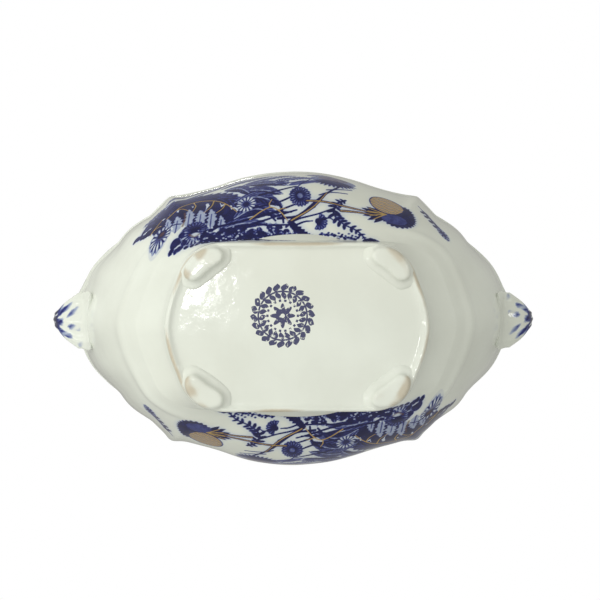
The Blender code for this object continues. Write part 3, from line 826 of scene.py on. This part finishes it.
class Nodes:
    """Short ways to build one material's node tree."""

    def __init__(self, name):
        self.material = bpy.data.materials.new(name)
        self.material.use_nodes = True
        self.tree = self.material.node_tree
        self.shader = self.tree.nodes["Principled BSDF"]

    def add(self, kind, **settings):
        node = self.tree.nodes.new(kind)
        for key, value in settings.items():
            setattr(node, key, value)
        return node

    def link(self, source, target):
        """Links a socket to another, or gives it a constant."""
        if isinstance(source, (int, float, tuple)):
            target.default_value = source
        else:
            self.tree.links.new(source, target)

    def value(self, layer):
        return self.add("ShaderNodeAttribute", attribute_name=layer).outputs["Fac"]

    def maths(self, operation, *terms, clamp=False):
        node = self.add("ShaderNodeMath", operation=operation, use_clamp=clamp)
        for term, socket in zip(terms, node.inputs):
            self.link(term, socket)
        return node.outputs[0]

    def noise(self, scale, detail=3.0, rough=0.5):
        node = self.add("ShaderNodeTexNoise")
        self.link(self.place(), node.inputs["Vector"])
        node.inputs["Scale"].default_value = scale
        node.inputs["Detail"].default_value = detail
        node.inputs["Roughness"].default_value = rough
        return node.outputs["Fac"]

    def ramp(self, value, stops):
        node = self.add("ShaderNodeValToRGB")
        elements = node.color_ramp.elements
        while len(elements) < len(stops):
            elements.new(0.5)
        for element, (place, colour) in zip(elements, stops):
            element.position = place
            element.color = (*colour, 1.0)
        self.link(value, node.inputs["Fac"])
        return node.outputs["Color"]

    def mix(self, share, low, high, blend="MIX"):
        node = self.add("ShaderNodeMix", data_type="RGBA", blend_type=blend)
        self.link(share, node.inputs["Factor"])
        self.link(low, node.inputs[6])
        self.link(high, node.inputs[7])
        return node.outputs[2]

    def place(self):
        return self.add("ShaderNodeTexCoord").outputs["Object"]

    def plus(self, first, second, clamp=False):
        return self.maths("ADD", first, second, clamp=clamp)

    def minus(self, first, second):
        return self.maths("SUBTRACT", first, second)

    def times(self, product, *terms):
        """The product of its terms; of tests, it is 1 where all of them are 1."""
        for term in terms:
            product = self.maths("MULTIPLY", product, term)
        return product

    def spread(self, value, low, high, to_low=0.0, to_high=1.0):
        node = self.add("ShaderNodeMapRange", interpolation_type="SMOOTHSTEP")
        for source, socket in zip((value, low, high, to_low, to_high), node.inputs):
            self.link(source, socket)
        return node.outputs[0]


# The ornament on the base: its middle, its ring of leaves, and the ring of dots and the rosette inside it.
WREATH_MIDDLE = (-0.0055, -0.0043)
WREATH_RADIUS = 0.0090
WREATH_LEAF = 0.0030
WREATH_LEAVES = 22
WREATH_STEM = 0.00032
DOTS_RADIUS = 0.0056
DOT_SIZE = 0.00042
ROSETTE_RADIUS = 0.0036
ROSETTE_PETAL = 0.0010
ROSETTE_EYE = 0.0008

WHITE = (0.79, 0.825, 0.750)
GREY_WHITE = (0.74, 0.770, 0.695)
CREAM = (0.76, 0.765, 0.66)
BLUE_CAST = (0.46, 0.53, 0.66)
WREATH_BLUE = (0.012, 0.014, 0.105)
SPECK = (0.17, 0.13, 0.08)
# Brown of stains and wear; along the bowl's base edge it also serves as painted shade.
STAIN_AND_SHADE_BROWN = (0.47, 0.38, 0.25)
GOLD = (0.72, 0.50, 0.20)
BROWN = (0.10, 0.045, 0.03)
INK_STOPS = ((0.0, (0.77, 0.79, 0.74)), (0.22, (0.36, 0.42, 0.56)), (0.50, (0.055, 0.072, 0.26)),
             (0.76, (0.010, 0.013, 0.110)), (1.0, (0.0045, 0.0055, 0.055)))


def wreath(n):
    """A small printed ornament on the base: a leafy ring, a ring of dots and a rosette."""
    parts = n.add("ShaderNodeSeparateXYZ")
    n.link(n.place(), parts.inputs[0])
    x, y, z = parts.outputs
    dx = n.minus(x, WREATH_MIDDLE[0])
    dy = n.minus(y, WREATH_MIDDLE[1])
    radius = n.maths("SQRT", n.plus(n.times(dx, dx), n.times(dy, dy)))
    turn = n.maths("ARCTAN2", dy, dx)
    off_ring = n.maths("ABSOLUTE", n.minus(radius, WREATH_RADIUS))
    stem = n.maths("LESS_THAN", off_ring, WREATH_STEM)
    out = n.maths("DIVIDE", off_ring, WREATH_LEAF)
    around = n.times(turn, WREATH_LEAVES / FULL_TURN)
    lean = n.minus(around, n.times(out, 0.45))
    across = n.maths("ABSOLUTE", n.minus(n.maths("FRACT", lean), 0.5))
    breadth = n.times(n.maths("SINE", n.times(out, math.pi)), 0.46)
    leaf = n.times(n.maths("LESS_THAN", across, breadth), n.maths("LESS_THAN", out, 1.0))
    lobes = n.maths("COSINE", n.times(turn, 8.0))
    petals = n.plus(ROSETTE_RADIUS, n.times(lobes, ROSETTE_PETAL))
    rosette = n.times(n.maths("LESS_THAN", radius, petals), n.maths("GREATER_THAN", radius, ROSETTE_EYE))
    pearl = n.maths("COSINE", n.times(turn, 18.0))
    off_pearls = n.maths("ABSOLUTE", n.minus(radius, DOTS_RADIUS))
    pearls = n.times(n.maths("GREATER_THAN", pearl, 0.1), n.maths("LESS_THAN", off_pearls, DOT_SIZE))
    drawn = n.maths("MAXIMUM", n.maths("MAXIMUM", stem, leaf), n.maths("MAXIMUM", rosette, pearls))
    return n.times(drawn, n.maths("LESS_THAN", z, FOOT_HEIGHT + 2 * RECESS_DEPTH))


def body_colour(n):
    """The cloudy off-white body, bluer where the print's cobalt flowed into its glaze."""
    body = n.mix(n.spread(n.noise(38.0, 4.0), 0.35, 0.70), (*WHITE, 1.0), (*GREY_WHITE, 1.0))
    cloudy = n.spread(n.noise(9.0, 2.0), 0.40, 0.75, 0.0, 0.35)
    body = n.mix(cloudy, body, (*CREAM, 1.0))
    return n.mix(n.spread(n.value("flow"), 0.02, 0.55, 0.0, 0.62), body, (*BLUE_CAST, 1.0))


def printed_colour(n, body, grain, marked):
    """The ink over the body, uneven from the copper plate's stipple, and brown line work on top."""
    wash = n.minus(n.noise(420.0, 3.0), 0.5)
    ink = n.value("ink")
    unevenness = n.plus(n.times(grain, 0.55), n.times(wash, 0.75))
    tone = n.plus(ink, n.times(unevenness, ink), clamp=True)
    colour = n.mix(n.spread(tone, 0.03, 0.20), body, n.ramp(tone, INK_STOPS))
    colour = n.mix(n.times(n.value("brown"), 0.8), colour, (*BROWN, 1.0))
    if marked:
        missed = n.spread(n.noise(900.0, 2.0), 0.30, 0.42)
        colour = n.mix(n.times(wreath(n), missed, 0.92), colour, (*WREATH_BLUE, 1.0))
    return colour


def kiln_specks(n):
    """1 inside the small round specks that some cells of a Voronoi pattern hold, and 0 outside them."""
    cells = n.add("ShaderNodeTexVoronoi", feature="F1")
    n.link(n.place(), cells.inputs["Vector"])
    cells.inputs["Scale"].default_value = 75.0
    pick = n.add("ShaderNodeSeparateColor")
    n.link(cells.outputs["Color"], pick.inputs["Color"])
    chosen = n.maths("GREATER_THAN", pick.outputs[0], 0.66)
    size = n.times(pick.outputs[1], 0.045)
    return n.times(n.maths("LESS_THAN", cells.outputs["Distance"], size), chosen)


def glaze_relief(n, specks):
    """The glaze's slow ripple and fine orange peel, with a dent at each speck, as a bumped normal."""
    ripple = n.times(n.noise(55.0, 2.0), 0.00048)
    peel = n.times(n.noise(330.0, 2.0), 0.00006)
    bump = n.add("ShaderNodeBump")
    bump.inputs["Strength"].default_value = 0.55
    bump.inputs["Distance"].default_value = 1.0
    dented = n.minus(n.plus(ripple, peel), n.times(specks, 0.00005))
    n.link(dented, bump.inputs["Height"])
    return bump.outputs["Normal"]


def glaze_material(name, most_stain_and_shade, marked=False):
    """Off-white glazed earthenware with flowed cobalt print, gilding, wear, painted shade along the base's
    edge and small firing faults.
    """
    n = Nodes(name)
    grain = n.minus(n.noise(2600.0, 2.0), 0.5)
    colour = printed_colour(n, body_colour(n), grain, marked)
    # Brown stains and wear; on the bowl this mix also paints the shade along the base's edge.
    patchy = n.plus(n.value("stain_and_edge_shade"), n.times(n.noise(300.0, 4.0, 0.65), 0.35))
    worn = n.spread(patchy, 0.30, 1.05, 0.0, most_stain_and_shade)
    colour = n.mix(worn, colour, (*STAIN_AND_SHADE_BROWN, 1.0))
    specks = kiln_specks(n)
    colour = n.mix(n.times(specks, 0.6), colour, (*SPECK, 1.0))
    # Thin burnished gold over the glaze.
    gilt = n.spread(n.plus(n.value("gilt"), n.times(grain, 0.35)), 0.30, 0.62)
    colour = n.mix(gilt, colour, (*GOLD, 1.0))
    n.link(colour, n.shader.inputs["Base Color"])
    n.link(n.times(gilt, 0.85), n.shader.inputs["Metallic"])
    gloss = n.spread(n.noise(140.0, 3.0), 0.3, 0.8, 0.045, 0.11)
    duller = n.plus(gloss, n.times(gilt, 0.24))
    rough = n.plus(duller, n.times(worn, 0.30))
    n.link(rough, n.shader.inputs["Roughness"])
    n.shader.inputs["IOR"].default_value = 1.52
    n.link(glaze_relief(n, specks), n.shader.inputs["Normal"])
    return n.material


# -------- the scene


def aim(made, place, target):
    made.location = place
    made.rotation_euler = (Vector(target) - Vector(place)).to_track_quat("-Z", "Y").to_euler()


def area_light(name, place, target, size, power, colour=(1.0, 1.0, 1.0), glossy=True):
    """A soft light. One that isn't glossy lights the boat but isn't mirrored in its glaze."""
    light = bpy.data.lights.new(name, "AREA")
    light.shape = "RECTANGLE"
    light.size, light.size_y = size
    light.energy = power
    light.color = colour
    made = bpy.data.objects.new(name, light)
    bpy.context.scene.collection.objects.link(made)
    aim(made, place, target)
    made.visible_camera = False
    made.visible_glossy = glossy
    return made


def make_lights():
    """Soft light from below for the underside, with a window beside the camera, and the same from above."""
    middle = (0, 0, 0.03)
    area_light("key_below", (-0.42, -0.10, -0.34), middle, (0.45, 0.45), 1.9, (1.0, 1.0, 0.97), glossy=False)
    area_light("fill_below", (0.22, -0.06, -0.70), middle, (0.60, 0.60), 1.55, (1.0, 1.0, 0.97), glossy=False)
    window = area_light("window", (-0.0560, 0.003, -0.45), (-0.035, -0.0145, 0.003), (0.021, 0.027), 0.060)
    window.rotation_euler.rotate_axis("Z", math.radians(32))
    area_light("key_above", (-0.50, -0.55, 0.75), middle, (0.50, 0.50), 7.5, (1.0, 0.99, 0.96), glossy=False)
    area_light("fill_above", (0.60, -0.30, 0.60), middle, (0.60, 0.60), 3.0, glossy=False)
    area_light("back_above", (0.10, 0.70, 0.60), middle, (0.60, 0.60), 3.5, glossy=False)
    area_light("window_above", (-0.06, -0.10, 0.85), middle, (0.11, 0.15), 0.60)
    area_light("strip_left", (-0.30, 0.06, -0.30), middle, (0.015, 0.20), 0.09)
    area_light("strip_right", (0.26, -0.08, -0.36), middle, (0.012, 0.14), 0.035)
    world = bpy.data.worlds.new("pale_room")
    world.use_nodes = True
    tree = world.node_tree
    back = tree.nodes["Background"]
    seen = tree.nodes.new("ShaderNodeBackground")
    seen.inputs["Color"].default_value = (1, 1, 1, 1)
    back.inputs["Color"].default_value = (0.97, 0.96, 0.90, 1)
    back.inputs["Strength"].default_value = 0.38
    path = tree.nodes.new("ShaderNodeLightPath")
    mix = tree.nodes.new("ShaderNodeMixShader")
    tree.links.new(path.outputs["Is Camera Ray"], mix.inputs["Fac"])
    tree.links.new(back.outputs[0], mix.inputs[1])
    tree.links.new(seen.outputs[0], mix.inputs[2])
    tree.links.new(mix.outputs[0], tree.nodes["World Output"].inputs["Surface"])
    bpy.context.scene.world = world


FLOOR_GAP = 0.0004


def make_floor():
    """A pale floor that is clear from below, so that it doesn't hide the underside."""
    half = 3.0
    corners = ((-half, -half), (half, -half), (half, half), (-half, half))
    data = bpy.data.meshes.new("floor")
    data.from_pydata([(x, y, -FLOOR_GAP) for x, y in corners], [], [(0, 1, 2, 3)])
    floor = bpy.data.objects.new("floor", data)
    bpy.context.scene.collection.objects.link(floor)
    n = Nodes("pale_floor")
    n.shader.inputs["Base Color"].default_value = (0.48, 0.48, 0.475, 1)
    n.shader.inputs["Emission Color"].default_value = (1.0, 1.0, 0.99, 1)
    n.shader.inputs["Emission Strength"].default_value = 0.42
    n.shader.inputs["Roughness"].default_value = 0.9
    side = n.add("ShaderNodeNewGeometry").outputs["Backfacing"]
    clear = n.add("ShaderNodeBsdfTransparent")
    mix = n.add("ShaderNodeMixShader")
    n.link(side, mix.inputs[0])
    n.link(n.shader.outputs[0], mix.inputs[1])
    n.link(clear.outputs[0], mix.inputs[2])
    n.link(mix.outputs[0], n.tree.nodes["Material Output"].inputs["Surface"])
    data.materials.append(n.material)
    floor.visible_diffuse = floor.visible_glossy = floor.visible_transmission = floor.visible_shadow = False


LENS_RATIO = 2.055


def make_camera():
    """A camera under the boat, looking up at its base from a little to the front and the left."""
    place = Vector((-0.0115, -0.0301, -0.450))
    towards = Vector((0.0273, 0.0441, 1.0)).normalized()
    across = Vector((0, -1, 0)).cross(-towards).normalized()
    camera = bpy.data.cameras.new("camera")
    camera.sensor_width = 36.0
    camera.lens = camera.sensor_width * LENS_RATIO
    camera.clip_start = 0.01
    made = bpy.data.objects.new("camera", camera)
    bpy.context.scene.collection.objects.link(made)
    turn = Matrix((across, (-towards).cross(across), -towards)).transposed().to_4x4()
    made.matrix_world = Matrix.Translation(place) @ turn
    bpy.context.scene.camera = made


bpy.context.scene.view_settings.view_transform = "Standard"
make_camera()
make_lights()
make_floor()

printed = glaze_material("printed_glaze_look", 0.75, marked=True)
worn = glaze_material("foot_glaze_look", 0.65)
handle_look = glaze_material("handle_glaze_look", 0.5)

bowl = make_bowl()
bowl.data.materials.append(printed)
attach(bowl, "root")
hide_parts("bowl")

for node, side in (("handle_right", 1), ("handle_left", -1)):
    handle = make_handle(node, side)
    handle.data.materials.append(handle_look)
    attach(handle, "root")
    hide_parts(node)

FEET = (
    ("foot_back_right", 1, 1, 40),
    ("foot_front_right", 1, -1, 41),
    ("foot_back_left", -1, 1, 42),
    ("foot_front_left", -1, -1, 43),
)
for node, side_x, side_y, seed in FEET:
    foot = make_foot(node, side_x, side_y, seed)
    foot.data.materials.append(worn)
    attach(foot, "root")
    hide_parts(node)
